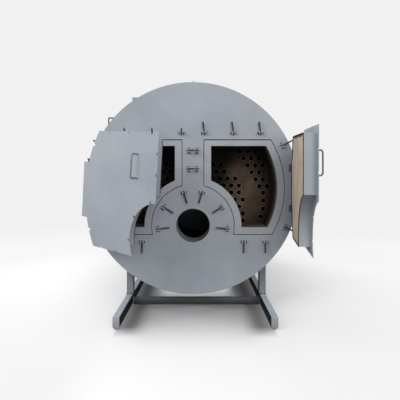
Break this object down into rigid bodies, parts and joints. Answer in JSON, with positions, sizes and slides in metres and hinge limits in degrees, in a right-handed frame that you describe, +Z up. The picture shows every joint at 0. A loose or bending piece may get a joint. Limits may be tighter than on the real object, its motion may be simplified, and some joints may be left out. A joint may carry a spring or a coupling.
{
  "type": "industrial boiler",
  "caption": "Horizontal fire-tube boiler on a skid: round front plate with a burner opening, hinged insulated smokebox doors with swing bolts, fire tubes behind.",
  "frame": {"origin": "on the ground, on the front cross member's underside, below the drum's axis", "axes": "+X to the right of someone facing the burner, +Y from the front plate to the back, +Z up"},
  "size_m": [2.0669, 4.3273, 2.305],
  "materials": {
    "grey_paint": "satin grey paint",
    "jacket_paint": "satin grey paint",
    "skid_paint": "satin grey paint",
    "stained_paint": "smoke-stained paint",
    "heat_stained_steel": "brown scaled steel",
    "dark_steel": "dark oiled steel",
    "insulation_board": "rough beige insulation board"
  },
  "bodies": {
    "boiler": {"front_plate": "grey_paint", "burner_throat": "stained_paint", "pressure_vessel": "heat_stained_steel", "front_strake": "jacket_paint", "middle_strake": "jacket_paint", "rear_strake": "jacket_paint", "rear_plate": "jacket_paint", "flue_outlet": "grey_paint", "rear_cover": "grey_paint", "steam_nozzle": "grey_paint", "safety_nozzles": "grey_paint", "manhole_neck": "grey_paint", "manhole_cover": "grey_paint", "lifting_lugs": "grey_paint", "junction_box": "grey_paint", "grab_bar": "grey_paint", "front_cross_member": "skid_paint", "middle_cross_member": "skid_paint", "rear_cross_member": "skid_paint", "left_smokebox_wall": "stained_paint", "left_bolt_lugs": "grey_paint", "left_swing_bolts": "dark_steel", "left_fixed_hinge": "grey_paint", "left_hinge_pin": "dark_steel", "left_runner": "skid_paint", "left_front_post": "skid_paint", "left_rear_post": "skid_paint", "right_smokebox_wall": "stained_paint", "right_bolt_lugs": "grey_paint", "right_swing_bolts": "dark_steel", "right_fixed_hinge": "grey_paint", "right_hinge_pin": "dark_steel", "right_runner": "skid_paint", "right_front_post": "skid_paint", "right_rear_post": "skid_paint"},
    "left_door": {"left_door_plate": "grey_paint", "left_door_box": "grey_paint", "left_door_lining": "insulation_board", "left_door_handle": "dark_steel", "left_door_hinge": "grey_paint"},
    "right_door": {"right_door_plate": "grey_paint", "right_door_box": "grey_paint", "right_door_lining": "insulation_board", "right_door_handle": "dark_steel", "right_door_hinge": "grey_paint"}
  },
  "joints": [
    {"name": "left_door_hinge", "type": "hinge", "parent": "boiler", "child": "left_door", "pos_m": [-0.955, -0.228, 1.14], "axis": [0.0349, 0.0993, -0.9944], "range_deg": [-40.1, 64.9]},
    {"name": "right_door_hinge", "type": "hinge", "parent": "boiler", "child": "right_door", "pos_m": [0.955, -0.228, 1.14], "axis": [0.0192, -0.0262, 0.9995], "range_deg": [-85.3, 19.7]}
  ]
}
